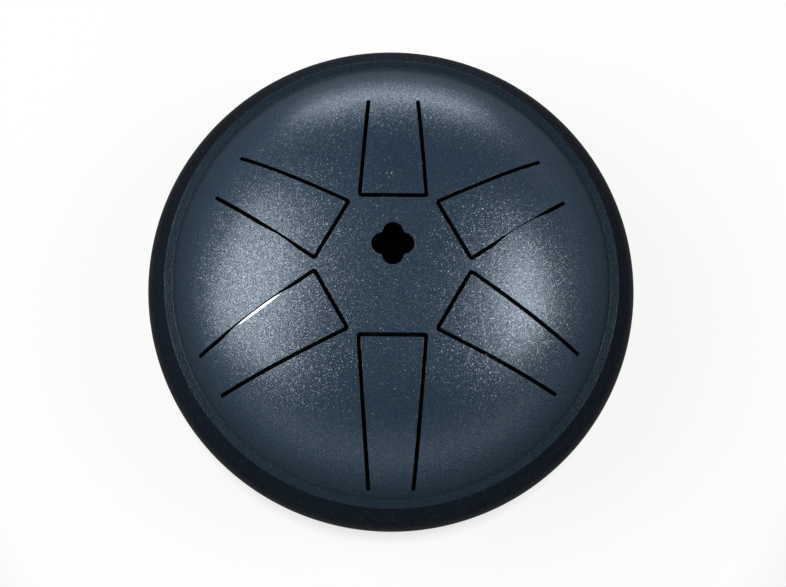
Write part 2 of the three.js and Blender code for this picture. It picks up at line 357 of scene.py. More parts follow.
def triangles(radius, loops):
    """Meshes a disc with holes in plan: the points, where each loop starts, and the triangles."""
    rim = ring_points(radius, TURNS)
    reach = int(radius / GRID) + 2
    rows, columns = np.mgrid[-2 * reach:2 * reach + 1, -reach:reach + 1]
    grid = np.column_stack([
        (columns + rows % 2 / 2).ravel() * GRID,
        rows.ravel() * GRID * math.sqrt(3) / 2,
    ])
    grid = grid[np.hypot(grid[:, 0], grid[:, 1]) < radius - GRID_CLEARANCE]
    for loop in loops:
        gap = np.min(np.hypot(*(grid[:, None, :] - loop[None, :, :2]).transpose(2, 0, 1)), axis=1)
        grid = grid[(gap > GRID_CLEARANCE) & ~inside(grid, loop)]
    parts = [rim, *[loop[:, :2] for loop in loops], grid]
    points = np.concatenate(parts)
    starts = np.cumsum([0, *[len(part) for part in parts]])
    edges = []
    for first, last in zip(starts[:-2], starts[1:-1]):
        edges.extend((i, i + 1) for i in range(first, last - 1))
        edges.append((last - 1, first))
    found = delaunay_2d_cdt(
        [Vector(p) for p in points],
        [tuple(map(int, e)) for e in edges],
        [],
        0,
        PLAN_TOLERANCE,
    )
    origin = [source[0] for source in found[3]]
    faces = np.array([[origin[i] for i in face] for face in found[2]])
    middles = points[faces].mean(axis=1)
    kept = np.ones(len(faces), bool)
    for loop in loops:
        kept &= ~inside(middles, loop)
    return points, starts, faces[kept]


def plate(skin, radius, holes, upper, lower, upper_round, lower_round):
    """Adds a disc of sheet with rounded holes, and returns its lower and upper rims. The coat ends
    on the first step of a hole's upper round."""
    loops = [np.column_stack([h[:, :2] + h[:, 2:] * upper_round, h[:, 2:]]) for h in holes]
    points, starts, faces = triangles(radius, loops)
    heights, facing = upper(points)
    top = skin.add(np.column_stack([points, heights]), facing)
    under = points.copy()
    for number, hole in enumerate(holes):
        first, last = starts[number + 1], starts[number + 2]
        under[first:last] = hole[:, :2] + hole[:, 2:] * lower_round
    heights, facing = lower(under)
    bottom = skin.add(np.column_stack([under, heights]), -facing)
    for a, b, c in faces:
        skin.faces.append((top[a], top[b], top[c]))
        skin.faces.append((bottom[c], bottom[b], bottom[a]))
    for number, hole in enumerate(holes):
        first, last = starts[number + 1], starts[number + 2]
        rings = [top[first:last]]
        for surface, edge, sign in ((upper, upper_round, 1), (lower, lower_round, -1)):
            turns = np.linspace(0, math.pi / 2, ROUND_STEPS + 1)[1:]
            for turn in turns if sign > 0 else turns[::-1]:
                plan = hole[:, :2] + hole[:, 2:] * edge * (1 - math.sin(turn))
                heights, facing = surface(plan)
                heights = heights - sign * edge * (1 - math.cos(turn))
                wall = np.column_stack([-hole[:, 2:], np.zeros(len(hole))])
                direction = sign * facing * math.cos(turn) + wall * math.sin(turn)
                rings.append(skin.add(np.column_stack([plan, heights]), direction))
        rings.append(bottom[first:last])
        skin.bands(rings[:2])
        walls = len(skin.faces)
        skin.bands(rings[1:])
        skin.cut.extend(range(walls, len(skin.faces)))
    return bottom[:TURNS], top[:TURNS]


def level_ring(radius, height, count):
    """Points round the axis, at one radius and height or at a row of each."""
    around = ring_points(1, count) * np.reshape(radius, (-1, 1))
    return np.column_stack([around, np.zeros(count) + height])


def turned_rings(skin, profile, count):
    """Adds a ring of points for each row of a profile of radius, height and outward direction."""
    return [
        skin.add(level_ring(radius, height, count), level_ring(out, up, count))
        for radius, height, out, up in profile
    ]


def turned(profile, count):
    """A closed ring turned about +Z from a closed profile, anticlockwise."""
    skin = Skin()
    rings = turned_rings(skin, profile, count)
    skin.bands([*rings, rings[0]])
    return skin


def moved(skin, place):
    """The skin, moved in plan."""
    skin.points = [(x + place.x, y + place.y, z) for x, y, z in skin.points]
    return skin


# Cut-outs
def slot_outline(turn, land):
    """The slot of a tongue that lies on the +X side and points inwards."""
    half = SLOT_WIDTH / 2
    reach = DOME_RADIUS - land
    step = math.radians(TURN_STEP)
    tip_half = (TIP_RADIUS * math.sin(step) - (TIP_WEB + SLOT_WIDTH) / 2) / math.cos(step)
    root_half = tip_half - TONGUE_TAPER_SHARE * (reach - TIP_RADIUS)
    corners = [
        (reach, -(root_half + half), SLOT_END_CORNER),
        (reach, -(root_half - half), SLOT_END_CORNER),
        (TIP_RADIUS + half, -(tip_half - half), SLOT_INNER_CORNER),
        (TIP_RADIUS + half, tip_half - half, SLOT_INNER_CORNER),
        (reach, root_half - half, SLOT_END_CORNER),
        (reach, root_half + half, SLOT_END_CORNER),
        (TIP_RADIUS - half, tip_half + half, SLOT_OUTER_CORNER),
        (TIP_RADIUS - half, -(tip_half + half), SLOT_OUTER_CORNER),
    ]
    outline = spaced(rounded(corners), EDGE_STEP)
    if turn in NARROWED:
        side, wall, start, end, fill = NARROWED[turn]
        facing = outline[:, 3] * side * wall
        on_wall = (outline[:, 1] * side > 0) & (facing > LONG_WALL_FACING)
        along = outline[:, 0]
        share = np.clip(np.minimum(along - start, end - along) / NARROWING_RAMP, 0, 1)
        depth = on_wall * fill * share**2 * (3 - 2 * share)
        outline[:, :2] -= outline[:, 2:] * depth[:, None]
    return outline


def sound_hole_outline():
    """Four lobes, with the points between them rounded."""
    spread = LOBE_RADIUS + CUSP_ROUND
    diagonal = math.sqrt(2) * LOBE_OFFSET + math.sqrt(4 * spread**2 - 2 * LOBE_OFFSET**2)
    cusp = diagonal / 2 / math.sqrt(2)
    half = math.degrees(math.atan2(cusp, cusp - LOBE_OFFSET))
    lobe = arc((LOBE_OFFSET, 0), (LOBE_RADIUS, LOBE_RADIUS), -half, half, LOBE_STEPS)
    ends = (180 + half, 270 - half)
    point = arc((cusp, cusp), (CUSP_ROUND, CUSP_ROUND), *ends, CUSP_STEPS, facing=-1)
    quarter = np.concatenate([lobe, point[1:-1]])
    whole = np.concatenate([placed(quarter, 90 * turn) for turn in range(4)])
    return placed(whole, 0, (0, SOUND_HOLE_SETBACK))


def round_hole(radius, place, steps):
    outline = arc((0, 0), (radius, radius), 0, 360, steps)[:-1]
    return placed(outline, 0, (place.x, place.y))


def dome_skin():
    """The top shell: the dome with its cut-outs, its foot and its flange."""
    holes = [placed(slot_outline(turn, land), turn * TURN_STEP) for turn, land in TONGUES]
    holes.append(sound_hole_outline())
    skin = Skin()
    plan_radius = DOME_RADIUS - PLAN_MARGIN
    lower_rim, upper_rim = plate(
        skin,
        plan_radius,
        holes,
        dome_surface,
        lambda points: dome_surface(points, TOP_SHEET),
        CUT_EDGE_ROUND,
        CUT_EDGE_UNDER,
    )
    edges = np.array([[DOME_RADIUS, 0], [plan_radius, 0]])
    (foot_height, plan_height), facing = dome_surface(edges)
    foot_slope = math.atan2(facing[0][0], facing[0][2])
    under_height = dome_surface(np.array([[plan_radius, 0]]), TOP_SHEET)[0][0]
    under_foot = DOME_RADIUS - TOP_SHEET * math.tan(foot_slope / 2)
    profile = rounded(
        [
            (plan_radius, under_height, 0),
            (under_foot, SEAM_Z, FOOT_UNDER_ROUND),
            (FLANGE_RADIUS, SEAM_Z, FLANGE_EDGE_ROUND),
            (FLANGE_RADIUS, FLANGE_Z, FLANGE_EDGE_ROUND),
            (DOME_RADIUS, foot_height, DOME_FOOT_ROUND),
            (plan_radius, plan_height, 0),
        ],
        closed=False,
        steps=DOME_FOOT_STEPS,
    )
    rings = turned_rings(skin, profile[1:-1], TURNS)
    skin.bands([lower_rim, *rings, upper_rim])
    return skin


def bowl_skin():
    """The bottom shell: the floor with its holes, the wall and the lip that the dome stands on."""
    inner_floor = FLOOR_Z + BOWL_SHEET
    places = [frame_middle(f"foot_{where}") for where in STANDS]
    holes = [round_hole(PORT_RADIUS, Vector((0, 0)), TURNS)]
    holes.extend(round_hole(SHANK_HOLE_RADIUS, place, SHANK_HOLE_TURNS) for place in places)
    skin = Skin()
    lower_rim, upper_rim = plate(
        skin,
        BODY_RADIUS - BOWL_CORNER_WIDTH - FLOOR_MARGIN,
        holes,
        lambda points: level_surface(points, inner_floor),
        lambda points: level_surface(points, FLOOR_Z),
        CUT_EDGE_UNDER,
        PORT_EDGE_ROUND,
    )
    shoulder_centre = (BODY_RADIUS - SHOULDER_RADIUS, BELLY_Z)
    shoulder_outer = (SHOULDER_RADIUS, SHOULDER_RADIUS)
    shoulder_inner = (SHOULDER_RADIUS - BOWL_SHEET, SHOULDER_RADIUS - BOWL_SHEET)
    across = WELD_RADIUS - shoulder_centre[0]
    away = math.hypot(across, SHOULDER_RISE)
    turn = math.atan2(SHOULDER_RISE, across) - math.acos(SHOULDER_RADIUS / away)
    bend = math.degrees(turn)
    under_seam = WELD_RADIUS - BOWL_SHEET * (1 / math.cos(turn) - math.tan(turn))
    corner_centre = (BODY_RADIUS - BOWL_CORNER_WIDTH, BELLY_Z)
    depth = BELLY_Z - FLOOR_Z
    corner_outer = (BOWL_CORNER_WIDTH, depth)
    corner_inner = (BOWL_CORNER_WIDTH - BOWL_SHEET, depth - BOWL_SHEET)
    lip_radius = WELD_RADIUS - LIP_WIDTH
    lip = rounded(
        [
            (WELD_RADIUS, SEAM_Z, 0),
            (lip_radius, SEAM_Z, LIP_ROUND),
            (lip_radius, SEAM_Z - BOWL_SHEET, LIP_ROUND),
            (under_seam, SEAM_Z - BOWL_SHEET, 0),
        ],
        closed=False,
    )
    out, up = math.cos(turn), math.sin(turn)
    profile = np.concatenate([
        arc(corner_centre, corner_outer, -90, 0, BOWL_CORNER_STEPS[0]),
        arc(shoulder_centre, shoulder_outer, 0, bend, SHOULDER_STEPS[0])[1:],
        [(WELD_RADIUS + SEAM_CORNER * up, SEAM_Z - SEAM_CORNER * out, out, up)],
        [(WELD_RADIUS - SEAM_CORNER, SEAM_Z, 0, 1)],
        lip[1:-1],
        [(under_seam, SEAM_Z - BOWL_SHEET, 0, -1)],
        arc(shoulder_centre, shoulder_inner, bend, 0, SHOULDER_STEPS[1], facing=-1),
        arc(corner_centre, corner_inner, 0, -90, BOWL_CORNER_STEPS[1], facing=-1)[1:],
    ])
    rings = turned_rings(skin, profile, TURNS)
    skin.bands([lower_rim, *rings, upper_rim])
    return skin


def weld_skin():
    """The bead that rounds the flange's edge down to the shoulder."""
    profile = rounded([
        (FLANGE_RADIUS, SEAM_Z, BEAD_CORNER),
        (WELD_RADIUS, SEAM_Z, BEAD_CORNER),
        (WELD_RADIUS - BEAD_SETBACK, FLANGE_Z, BEAD_ROUND),
        (FLANGE_RADIUS, FLANGE_Z, BEAD_CORNER),
    ])
    return turned(profile, TURNS)


# Feet and fasteners
def foot_skin(node):
    """A moulded rubber foot with a counterbore for the screw's head."""
    low, high = frame_box(node)
    top_radius = (high.x - low.x) / 2
    profile = rounded([
        (COUNTERBORE_RADIUS, 0, COUNTERBORE_MOUTH_ROUND),
        (top_radius - FOOT_DRAFT, 0, FOOT_GROUND_ROUND),
        (top_radius - FOOT_RIM_SETBACK, high.z - FOOT_RIM, FOOT_RIM_ROUND),
        (top_radius, high.z, FOOT_TOP_ROUND),
        (SHANK_HOLE_RADIUS, high.z, FOOT_BORE_ROUND),
        (SHANK_HOLE_RADIUS, COUNTERBORE_DEPTH, FOOT_BORE_ROUND),
        (COUNTERBORE_RADIUS, COUNTERBORE_DEPTH, COUNTERBORE_ROUND),
    ])
    return turned(profile, FITTING_TURNS)


def washer_skin(node):
    low, high = frame_box(node)
    radius = (high.x - low.x) / 2
    profile = rounded([
        (SHANK_HOLE_RADIUS, low.z, WASHER_ROUND),
        (radius, low.z, WASHER_ROUND),
        (radius, high.z, WASHER_ROUND),
        (SHANK_HOLE_RADIUS, high.z, WASHER_ROUND),
    ])
    return turned(profile, FITTING_TURNS)


def nut_skin(node):
    """A hexagon nut with its corners chamfered."""
    low, high = frame_box(node)
    flat = (high.y - low.y) / 2
    angles = 360 * np.arange(FITTING_TURNS) / FITTING_TURNS
    hexagon = flat / np.cos(np.radians(angles % 60 - 30))
    chamfer_start = flat * NUT_FACE_SHARE
    drop = (hexagon - chamfer_start) * math.tan(math.radians(NUT_CHAMFER_ANGLE))
    rows = [
        (NUT_BORE_RADIUS + NUT_LEAD, low.z),
        (chamfer_start, low.z),
        (hexagon, low.z + drop),
        (hexagon, high.z - drop),
        (chamfer_start, high.z),
        (NUT_BORE_RADIUS + NUT_LEAD, high.z),
        (NUT_BORE_RADIUS, high.z - NUT_LEAD),
        (NUT_BORE_RADIUS, low.z + NUT_LEAD),
    ]
    skin = Skin()
    rings = [skin.add(level_ring(radius, height, FITTING_TURNS)) for radius, height in rows]
    skin.bands([*rings, rings[0]])
    return skin


def screw_skin(node):
    """A pan head screw with a helical thread, head down."""
    low, high = frame_box(node)
    head_radius = (high.x - low.x) / 2
    flat = HEAD_FLAT_SHARE * head_radius
    crown = low.z + HEAD_CROWN
    side = [
        (head_radius, crown + HEAD_BAND, 0),
        (head_radius, HEAD_SEAT, HEAD_SEAT_ROUND),
        (SHANK_RADIUS, HEAD_SEAT, 0),
    ]
    head = np.concatenate([
        arc((flat, crown), (head_radius - flat, HEAD_CROWN), -90, 0, HEAD_STEPS)[:, :2],
        rounded(side, closed=False)[1:-1, :2],
    ])
    turn_share = np.arange(SCREW_TURNS) / SCREW_TURNS
    skin = Skin()
    apex = skin.add([(0, 0, low.z)])[0]
    rings = [skin.add(level_ring(radius, height, SCREW_TURNS)) for radius, height in head]
    steps = int((high.z - HEAD_SEAT) / THREAD_PITCH * THREAD_STEPS)
    for height in np.linspace(HEAD_SEAT, high.z, steps):
        phase = (height / THREAD_PITCH - turn_share) % 1
        ridge = np.abs(phase * 2 - 1)
        tip_limit = SHANK_RADIUS - max(0, SCREW_CHAMFER - (high.z - height))
        radius = np.minimum(SHANK_RADIUS - THREAD_DEPTH * ridge, tip_limit)
        rings.append(skin.add(level_ring(radius, height, SCREW_TURNS)))
    skin.bands(rings)
    tip = skin.add([(0, 0, high.z)])[0]
    for i in range(SCREW_TURNS):
        j = (i + 1) % SCREW_TURNS
        skin.faces.append((apex, rings[0][j], rings[0][i]))
        skin.faces.append((rings[-1][i], rings[-1][j], tip))
    return skin


def cross_tool(place, bottom):
    """The solid that a cross point driver leaves in the head: a cross that tapers inwards."""
    skin = Skin()
    levels = []
    for level, (length, width) in ((-CROSS_OVERRUN, CROSS_MOUTH), (CROSS_DEPTH, CROSS_FLOOR)):
        arm = np.array([(width, -width), (length, -width), (length, width)])
        cross = np.concatenate([arm @ turning(90 * quarter) for quarter in range(4)])
        levels.append(skin.add(np.column_stack([cross, np.full(len(cross), bottom + level)])))
    low, high = levels
    skin.bands([low, high])
    skin.faces.append(tuple(reversed(low)))
    skin.faces.append(tuple(high))
    return moved(skin, place)


def cut_screw(name, skin, place, bottom):
    """The screw's mesh with the cross recess cut into its head."""
    body = bpy.data.objects.new(name, creased_mesh(name, skin))
    cross = creased_mesh(f"{name}_tool", cross_tool(place, bottom))
    tool = bpy.data.objects.new(f"{name}_tool", cross)
    for made in (body, tool):
        bpy.context.scene.collection.objects.link(made)
    cut = body.modifiers.new("recess", "BOOLEAN")
    cut.operation = "DIFFERENCE"
    cut.solver = "EXACT"
    cut.object = tool
    graph = bpy.context.evaluated_depsgraph_get()
    mesh = bpy.data.meshes.new_from_object(body.evaluated_get(graph))
    for made in (body, tool):
        bpy.data.objects.remove(made)
    cleaned = bmesh.new()
    cleaned.from_mesh(mesh)
    bmesh.ops.triangulate(cleaned, faces=cleaned.faces)
    bmesh.ops.dissolve_degenerate(cleaned, dist=MERGED * MM, edges=cleaned.edges)
    cleaned.to_mesh(mesh)
    cleaned.free()
    mesh.set_sharp_from_angle(angle=math.radians(CREASE))
    return mesh


# Flakes in the coats: their sizes, the shares of their cells that stay bare, and how far they lean
# at most, as the sine of an angle
FLAKE_SIZE = 0.08           # of the flakes that lie flat
FLAKE_BARE = 0.5
GLINT_SIZE = 0.17           # of those that lean
GLINT_BARE = 0.79
GLINT_LEAN = 0.15
STRAY_SIZE = 0.17           # of the few that lean further
STRAY_BARE = 0.97
STRAY_LEAN = 0.3
COAT_LEAN = 0.02            # of the coat between them
BOWL_BARE = 0.985
BARE_EDGE = 0.02            # from bare to flake
RIM_SHADE_BARE = 0.32             # further share that is bare at the rim: fewer flakes there, as painted shade
RIM_SHADE_THINNING_RADII = (50, 61)   # where the flakes begin to thin out and have done so, as painted shade at the rim

# Coats, cut walls, rubber and zinc. Colours are 0 to 255 as a screen shows them, and noise mottles
# a surface between the two of a pair of colours or roughnesses
NOISE_SPAN = (0.3, 0.7)     # what the noise mostly keeps to
DOME_COLOURS = [(28, 61, 86), (32, 65, 90)]
DOME_ROUGHNESS = (0.29, 0.35)
# Painted shade: the dome's navy turns darker and greyer towards the rim
RIM_SHADE_COLOUR = (27, 41, 53)
RIM_SHADE_RADII = (50, 60.5)      # where the rim's painted shade begins and is reached
FLAKE_COLOUR = (92, 98, 104)
GLINT_COLOUR = (114, 120, 126)
BOWL_COLOURS = [(28, 36, 44), (32, 41, 51)]
BOWL_ROUGHNESS = (0.38, 0.45)
BOWL_GLINT_COLOUR = (128, 132, 137)
BOWL_METALLIC = 0.75        # between the flakes
COAT_MOTTLE = 22            # sizes of what mottles a coat's colour, its roughness and its surface
COAT_SATIN = 1.2
COAT_GRAIN = 0.45
COAT_GRAIN_HEIGHT = 0.015
COAT_SPECULAR = 0.1
WORN_COLOUR = (205, 207, 206)
WORN_MIDDLE = (-35.25, -11.65)  # of the slot's worn edge, from above
WORN_SIZE = (6.7, 0.33)
WORN_TURN = 34
WORN_EDGE = (0.85, 1.1)     # shares of its size between which it ends
WORN_SHINE = 0.1            # how much less rough it is
# Near black walls of the cut-outs: painted shade, partly the oxide of the cut
CUT_SHADE_COLOURS = [(7, 8, 9), (16, 17, 19)]
CUT_MOTTLE = 0.6
CUT_GRAIN = 0.2
CUT_ROUGHNESS = (0.55, 0.7)
RUBBER_COLOURS = [(20, 21, 22), (31, 32, 33)]
RUBBER_DUST = 6
RUBBER_GRAIN = 0.25
RUBBER_GRAIN_HEIGHT = 0.03
RUBBER_ROUGHNESS = (0.72, 0.9)
RUBBER_SPECULAR = 0.35
ZINC_COLOURS = [(168, 172, 176), (206, 209, 211)]
ZINC_MOTTLE = 0.9
ZINC_GRAIN = 0.08
ZINC_GRAIN_HEIGHT = 0.004
ZINC_ROUGHNESS = (0.26, 0.42)


def in_metres(lengths):
    return [length * MM for length in lengths]


def srgb(red, green, blue):
    """A colour written as 0 to 255, as a shader takes it."""
    shares = [value / 255 for value in (red, green, blue)]
    linear = [s / 12.92 if s <= 0.04045 else ((s + 0.055) / 1.055) ** 2.4 for s in shares]
    return (*linear, 1)


class Surface:
    """A material under construction, with its main shader and helpers to add nodes."""

    def __init__(self, name):
        self.material = bpy.data.materials.new(name)
        self.material.use_nodes = True
        self.tree = self.material.node_tree
        self.shader = self.tree.nodes["Principled BSDF"]
        self.where = self.node("ShaderNodeTexCoord").outputs["Object"]

    def node(self, kind, **values):
        made = self.tree.nodes.new(kind)
        for name, value in values.items():
            setattr(made, name, value)
        return made

    def link(self, source, target):
        self.tree.links.new(source, target)

    def noise(self, size, detail=2):
        """Noise whose features are about this many millimetres across."""
        made = self.node("ShaderNodeTexNoise")
        made.inputs["Scale"].default_value = 1 / (size * MM)
        made.inputs["Detail"].default_value = detail
        self.link(self.where, made.inputs["Vector"])
        return made.outputs["Fac"]

    def spread(self, source, low, high, to_low, to_high):
        """Maps a value's range to another one, held at its ends."""
        made = self.node("ShaderNodeMapRange")
        for number, value in enumerate((low, high, to_low, to_high), 1):
            made.inputs[number].default_value = value
        self.link(source, made.inputs[0])
        return made.outputs[0]

    def mottled(self, source, colours):
        """Noise as a colour between two."""
        return self.mix(source, *(srgb(*colour) for colour in colours))

    def mix(self, share, first, second):
        """A colour between two colours or colour sockets."""
        made = self.node("ShaderNodeMix", data_type="RGBA")
        self.link(share, made.inputs["Factor"])
        for socket, value in ((made.inputs[6], first), (made.inputs[7], second)):
            if isinstance(value, bpy.types.NodeSocket):
                self.link(value, socket)
            else:
                socket.default_value = value
        return made.outputs[2]

    def cells(self, size):
        """Random cells about this many millimetres across: each one's place, and its own colour."""
        made = self.node("ShaderNodeTexVoronoi")
        made.inputs["Scale"].default_value = 1 / (size * MM)
        self.link(self.where, made.inputs["Vector"])
        return made.outputs["Position"], made.outputs["Color"]

    def math(self, operation, first, second):
        made = self.node("ShaderNodeMath", operation=operation)
        self.link(first, made.inputs[0])
        self.link(second, made.inputs[1])
        return made.outputs[0]

    def radius(self):
        """How far the place is from the body's upright axis, in metres."""
        level = self.node("ShaderNodeVectorMath", operation="MULTIPLY")
        self.link(self.where, level.inputs[0])
        level.inputs[1].default_value = (1, 1, 0)
        made = self.node("ShaderNodeVectorMath", operation="LENGTH")
        self.link(level.outputs[0], made.inputs[0])
        return made.outputs["Value"]

    def oval(self, middle, size, turn):
        """How far out the place is in an oval seen from above, which ends at 1. Its middle and half
        sizes are in millimetres, and it is turned by an angle."""
        shifted = self.node("ShaderNodeVectorMath", operation="SUBTRACT")
        self.link(self.where, shifted.inputs[0])
        shifted.inputs[1].default_value = (middle[0] * MM, middle[1] * MM, 0)
        spun = self.node("ShaderNodeVectorRotate", rotation_type="Z_AXIS")
        self.link(shifted.outputs[0], spun.inputs["Vector"])
        spun.inputs["Angle"].default_value = -math.radians(turn)
        scaled = self.node("ShaderNodeVectorMath", operation="MULTIPLY")
        self.link(spun.outputs[0], scaled.inputs[0])
        scaled.inputs[1].default_value = (1 / (size[0] * MM), 1 / (size[1] * MM), 0)
        made = self.node("ShaderNodeVectorMath", operation="LENGTH")
        self.link(scaled.outputs[0], made.inputs[0])
        return made.outputs["Value"]

    def flakes(self, size, bare, shade_thinning=None):
        """Where flakes are, as 0 or 1, and a colour that each cell has to itself. The bare share of
        the cells has none, and shade_thinning takes a further share, as painted shade."""
        cell, lean = self.cells(size)
        chance = self.node("ShaderNodeTexWhiteNoise")
        self.link(cell, chance.inputs["Vector"])
        value = chance.outputs["Value"]
        if shade_thinning is not None:
            value = self.math("SUBTRACT", value, shade_thinning)
        return self.spread(value, bare, bare + BARE_EDGE, 0, 1), lean

    def leaning(self, lean, amount):
        """The surface's direction, leaning by a colour taken as a random direction."""
        centred = self.node("ShaderNodeVectorMath", operation="MULTIPLY_ADD")
        self.link(lean, centred.inputs[0])
        centred.inputs[1].default_value = (2, 2, 2)
        centred.inputs[2].default_value = (-1, -1, -1)
        scaled = self.node("ShaderNodeVectorMath", operation="SCALE")
        self.link(centred.outputs[0], scaled.inputs[0])
        self.link(amount, scaled.inputs["Scale"])
        joined = self.node("ShaderNodeVectorMath", operation="ADD")
        self.link(self.node("ShaderNodeNewGeometry").outputs["Normal"], joined.inputs[0])
        self.link(scaled.outputs[0], joined.inputs[1])
        made = self.node("ShaderNodeVectorMath", operation="NORMALIZE")
        self.link(joined.outputs[0], made.inputs[0])
        return made.outputs[0]

    def bump(self, source, height, under=None):
        """Relief of a height in millimetres, over another one."""
        made = self.node("ShaderNodeBump")
        made.inputs["Distance"].default_value = height * MM
        self.link(source, made.inputs["Height"])
        if under is not None:
            self.link(under, made.inputs["Normal"])
        return made.outputs["Normal"]


def finish_coat(coat, lean, amount):
    """Gives a coat its grain over leaning flakes, and takes away its pale gloss."""
    leaning = coat.leaning(lean, amount)
    grain = coat.bump(coat.noise(COAT_GRAIN), COAT_GRAIN_HEIGHT, under=leaning)
    coat.link(grain, coat.shader.inputs["Normal"])
    coat.shader.inputs["Specular IOR Level"].default_value = COAT_SPECULAR
    coat.shader.inputs["Specular Tint"].default_value = (0, 0, 0, 1)
    return coat.material


def dome_coat():
    """Navy powder coat over the dome, with bright steel where a slot's edge is worn. It has fine
    metal flakes that lie flat, larger ones that lean and a few that lean further. Towards the rim
    the navy darkens and the flakes thin out, as painted shade."""
    coat = Surface("dome_coat")
    radius = coat.radius()
    # Painted shade: fewer flakes towards the rim
    shade_thinning = coat.spread(radius, *in_metres(RIM_SHADE_THINNING_RADII), 0, RIM_SHADE_BARE)
    fine = coat.flakes(FLAKE_SIZE, FLAKE_BARE, shade_thinning)[0]
    large, lean = coat.flakes(GLINT_SIZE, GLINT_BARE, shade_thinning)
    stray, tilt = coat.flakes(STRAY_SIZE, STRAY_BARE, shade_thinning)
    worn = coat.spread(coat.oval(WORN_MIDDLE, WORN_SIZE, WORN_TURN), *WORN_EDGE, 1, 0)
    navy = coat.mottled(coat.noise(COAT_MOTTLE), DOME_COLOURS)
    # Painted shade: the navy darkens towards the rim
    navy = coat.mix(coat.spread(radius, *in_metres(RIM_SHADE_RADII), 0, 1), navy, srgb(*RIM_SHADE_COLOUR))
    dusted = coat.mix(fine, navy, srgb(*FLAKE_COLOUR))
    painted = coat.mix(coat.math("MAXIMUM", large, stray), dusted, srgb(*GLINT_COLOUR))
    coat.link(coat.mix(worn, painted, srgb(*WORN_COLOUR)), coat.shader.inputs["Base Color"])
    flaked = coat.math("MAXIMUM", fine, large)
    metal = coat.math("MAXIMUM", flaked, coat.math("MAXIMUM", stray, worn))
    coat.link(metal, coat.shader.inputs["Metallic"])
    satin = coat.spread(coat.noise(COAT_SATIN), *NOISE_SPAN, *DOME_ROUGHNESS)
    rough = coat.math("SUBTRACT", satin, coat.spread(worn, 0, 1, 0, WORN_SHINE))
    coat.link(rough, coat.shader.inputs["Roughness"])
    amount = coat.spread(large, 0, 1, COAT_LEAN, GLINT_LEAN)
    amount = coat.math("MAXIMUM", amount, coat.spread(stray, 0, 1, 0, STRAY_LEAN))
    return finish_coat(coat, coat.mix(stray, lean, tilt), amount)


def bowl_coat():
    """The bowl's darker satin coat, with a few flakes in it."""
    coat = Surface("bowl_coat")
    large, lean = coat.flakes(GLINT_SIZE, BOWL_BARE)
    dark = coat.mottled(coat.noise(COAT_MOTTLE), BOWL_COLOURS)
    coat.link(coat.mix(large, dark, srgb(*BOWL_GLINT_COLOUR)), coat.shader.inputs["Base Color"])
    coat.link(coat.spread(large, 0, 1, BOWL_METALLIC, 1), coat.shader.inputs["Metallic"])
    satin = coat.spread(coat.noise(COAT_SATIN), *NOISE_SPAN, *BOWL_ROUGHNESS)
    coat.link(satin, coat.shader.inputs["Roughness"])
    return finish_coat(coat, lean, coat.spread(large, 0, 1, 0, GLINT_LEAN))


def cut_walls_painted_shade():
    """The walls of the cut-outs, near black: painted shade inside the cut-outs, partly the oxide
    that the cut leaves.
    """
    steel = Surface("cut_walls_painted_shade")
    black = steel.mottled(steel.noise(CUT_MOTTLE), CUT_SHADE_COLOURS)
    steel.link(black, steel.shader.inputs["Base Color"])
    rough = steel.spread(steel.noise(CUT_GRAIN), *NOISE_SPAN, *CUT_ROUGHNESS)
    steel.link(rough, steel.shader.inputs["Roughness"])
    steel.shader.inputs["Specular IOR Level"].default_value = COAT_SPECULAR
    return steel.material


def rubber_material():
    """Matt black rubber with the fine texture of its mould."""
    rubber = Surface("black_rubber")
    grain = rubber.noise(RUBBER_GRAIN, detail=3)
    dusty = rubber.mottled(rubber.noise(RUBBER_DUST, detail=4), RUBBER_COLOURS)
    rubber.link(dusty, rubber.shader.inputs["Base Color"])
    rough = rubber.spread(grain, *NOISE_SPAN, *RUBBER_ROUGHNESS)
    rubber.link(rough, rubber.shader.inputs["Roughness"])
    rubber.shader.inputs["Specular IOR Level"].default_value = RUBBER_SPECULAR
    rubber.link(rubber.bump(grain, RUBBER_GRAIN_HEIGHT), rubber.shader.inputs["Normal"])
    return rubber.material


def zinc_material():
    """Zinc plate on steel, slightly mottled."""
    zinc = Surface("zinc_plate")
    mottle = zinc.noise(ZINC_MOTTLE, detail=4)
    zinc.link(zinc.mottled(mottle, ZINC_COLOURS), zinc.shader.inputs["Base Color"])
    zinc.shader.inputs["Metallic"].default_value = 1
    rough = zinc.spread(mottle, *NOISE_SPAN, *ZINC_ROUGHNESS)
    zinc.link(rough, zinc.shader.inputs["Roughness"])
    grain = zinc.bump(zinc.noise(ZINC_GRAIN), ZINC_GRAIN_HEIGHT)
    zinc.link(grain, zinc.shader.inputs["Normal"])
    return zinc.material


def build_drum():
    dome_finish = [dome_coat(), cut_walls_painted_shade()]
    bowl_finish = [bowl_coat(), dome_finish[1]]
    rubber = rubber_material()
    zinc = zinc_material()
    piece("dome", smooth_mesh("dome", dome_skin()), dome_finish, "top_shell")
    piece("bowl", smooth_mesh("bowl", bowl_skin()), bowl_finish, "bottom_shell")
    piece("bead", smooth_mesh("bead", weld_skin()), dome_finish[:1], "rim_weld")
    for where in STANDS:
        place = frame_middle(f"foot_{where}")
        foot = smooth_mesh("foot", moved(foot_skin(f"foot_{where}"), place))
        piece(f"rubber_foot_{where}", foot, [rubber], f"foot_{where}")
        washer = smooth_mesh("washer", moved(washer_skin(f"washer_{where}"), place))
        piece(f"flat_washer_{where}", washer, [zinc], f"washer_{where}")
        nut = creased_mesh("nut", moved(nut_skin(f"nut_{where}"), place))
        piece(f"hex_nut_{where}", nut, [zinc], f"nut_{where}")
        bottom = frame_box(f"screw_{where}")[0].z
        screw = cut_screw("screw", moved(screw_skin(f"screw_{where}"), place), place, bottom)
        piece(f"pan_screw_{where}", screw, [zinc], f"screw_{where}")


